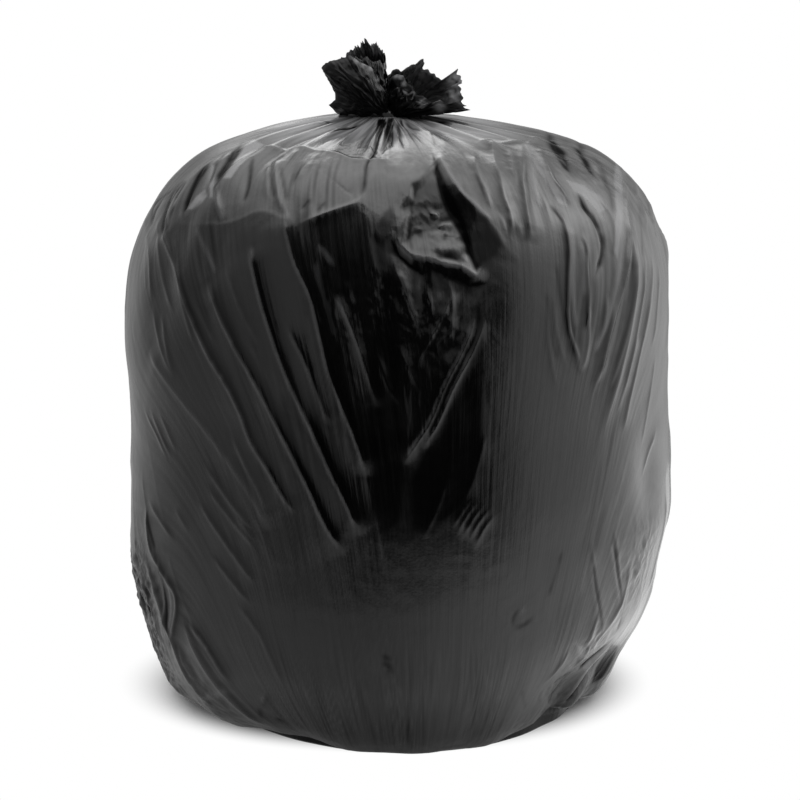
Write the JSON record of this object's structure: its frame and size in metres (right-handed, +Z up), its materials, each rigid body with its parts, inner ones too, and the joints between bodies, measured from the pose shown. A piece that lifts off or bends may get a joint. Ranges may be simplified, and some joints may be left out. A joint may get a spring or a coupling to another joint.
{
  "type": "full tied bin bag",
  "caption": "Filled black refuse sack, gathered and tied in its own neck, with ragged ears above the knot and a flat base to stand on.",
  "frame": {"origin": "on the floor, under the middle of the bag's box", "axes": "+Z up, -Y towards the front seen in the picture, +X to the viewer's right"},
  "size_m": [0.4586, 0.4598, 0.5575],
  "materials": {
    "black_film": "thin satin-gloss polythene film, wrinkled"
  },
  "bodies": {
    "root": {"bin_bag": "black_film"}
  },
  "joints": []
}
